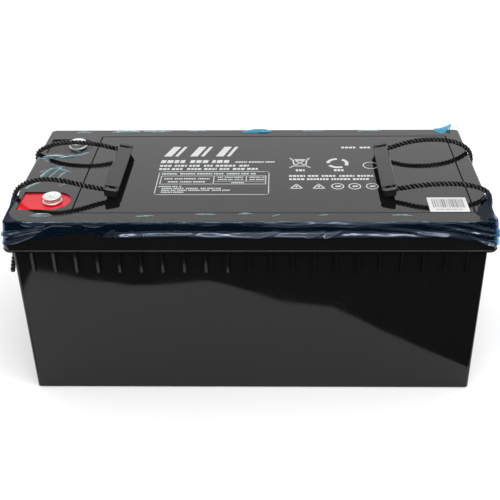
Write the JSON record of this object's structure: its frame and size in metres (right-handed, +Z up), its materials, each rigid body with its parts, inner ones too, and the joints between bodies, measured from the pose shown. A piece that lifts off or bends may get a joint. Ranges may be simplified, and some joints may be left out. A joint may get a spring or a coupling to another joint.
{
  "type": "deep cycle battery",
  "caption": "Sealed lead-acid deep cycle battery: long ribbed case, flat lid with two sunken bolt terminals at one end and rope handles at both ends.",
  "frame": {"origin": "centre of the case's underside, on the surface that the battery stands on", "axes": "+X along the length, with the two terminals at the -X end; +Y to the rear (the positive terminal is on the -Y side); +Z up"},
  "size_m": [0.5458, 0.244, 0.2463],
  "materials": {
    "case_plastic": "glossy moulded ABS with fine handling marks",
    "rubber": "matt rubber",
    "valve_pad": "felted absorbent pad",
    "lead": "dull cast lead",
    "separator": "microporous separator soaked with gel",
    "terminal_metal": "tinned brass",
    "red_epoxy": "glossy cast resin",
    "black_epoxy": "glossy cast resin",
    "plated_steel": "bright zinc plate",
    "grip_plastic": "smooth moulded plastic, satin top",
    "rope": "three strand laid polypropylene",
    "film": "clear blue polythene, creased",
    "label_paper": "white coated paper"
  },
  "bodies": {
    "root": {"container": "case_plastic", "lid": "case_plastic", "cover_plate": "case_plastic", "valve_cap_1": "rubber", "valve_cap_2": "rubber", "valve_cap_3": "rubber", "valve_cap_4": "rubber", "valve_cap_5": "rubber", "valve_cap_6": "rubber", "valve_pad_1": "valve_pad", "valve_pad_2": "valve_pad", "valve_pad_3": "valve_pad", "valve_pad_4": "valve_pad", "valve_pad_5": "valve_pad", "valve_pad_6": "valve_pad", "positive_plates_1": "lead", "negative_plates_1": "lead", "gel_separators_1": "separator", "positive_plates_2": "lead", "negative_plates_2": "lead", "gel_separators_2": "separator", "positive_plates_3": "lead", "negative_plates_3": "lead", "gel_separators_3": "separator", "positive_plates_4": "lead", "negative_plates_4": "lead", "gel_separators_4": "separator", "positive_plates_5": "lead", "negative_plates_5": "lead", "gel_separators_5": "separator", "positive_plates_6": "lead", "negative_plates_6": "lead", "gel_separators_6": "separator", "cell_weld_1": "lead", "cell_weld_2": "lead", "cell_weld_3": "lead", "cell_weld_4": "lead", "cell_weld_5": "lead", "positive_terminal": "terminal_metal", "positive_seal": "rubber", "positive_epoxy": "red_epoxy", "negative_terminal": "terminal_metal", "negative_seal": "rubber", "negative_epoxy": "black_epoxy", "left_front_rope_end": "rope", "left_rear_rope_end": "rope", "right_front_rope_end": "rope", "right_rear_rope_end": "rope", "protective_film": "film", "barcode_label": "label_paper"},
    "positive_washers": {"positive_washer": "plated_steel", "positive_spring_washer": "plated_steel"},
    "positive_bolt": {"positive_bolt": "plated_steel"},
    "negative_washers": {"negative_washer": "plated_steel", "negative_spring_washer": "plated_steel"},
    "negative_bolt": {"negative_bolt": "plated_steel"},
    "left_handle": {"left_rope": "rope", "left_grip": "grip_plastic"},
    "right_handle": {"right_rope": "rope", "right_grip": "grip_plastic"}
  },
  "joints": [
    {"name": "positive_bolt_rise", "type": "slide", "parent": "root", "child": "positive_washers", "axis": [0, 0, 1], "range_m": [0, 0.011]},
    {"name": "positive_bolt_turn", "type": "hinge", "parent": "positive_washers", "child": "positive_bolt", "pos_m": [-0.215, -0.07, 0.2222], "axis": [0, 0, 1], "range_deg": [0, 3168.5]},
    {"name": "negative_bolt_rise", "type": "slide", "parent": "root", "child": "negative_washers", "axis": [0, 0, 1], "range_m": [0, 0.011]},
    {"name": "negative_bolt_turn", "type": "hinge", "parent": "negative_washers", "child": "negative_bolt", "pos_m": [-0.215, 0.07, 0.2222], "axis": [0, 0, 1], "range_deg": [0, 3168.5]},
    {"name": "left_handle_swing", "type": "hinge", "parent": "root", "child": "left_handle", "pos_m": [-0.2655, 0, 0.205], "axis": [0, -1, 0], "range_deg": [0, 150]},
    {"name": "right_handle_swing", "type": "hinge", "parent": "root", "child": "right_handle", "pos_m": [0.2655, 0, 0.205], "axis": [0, 1, 0], "range_deg": [0, 150]}
  ],
  "couplings": [
    {"joint": "positive_bolt_turn", "follows": "positive_bolt_rise", "rad_per_m": 5026.5},
    {"joint": "negative_bolt_turn", "follows": "negative_bolt_rise", "rad_per_m": 5026.5}
  ]
}
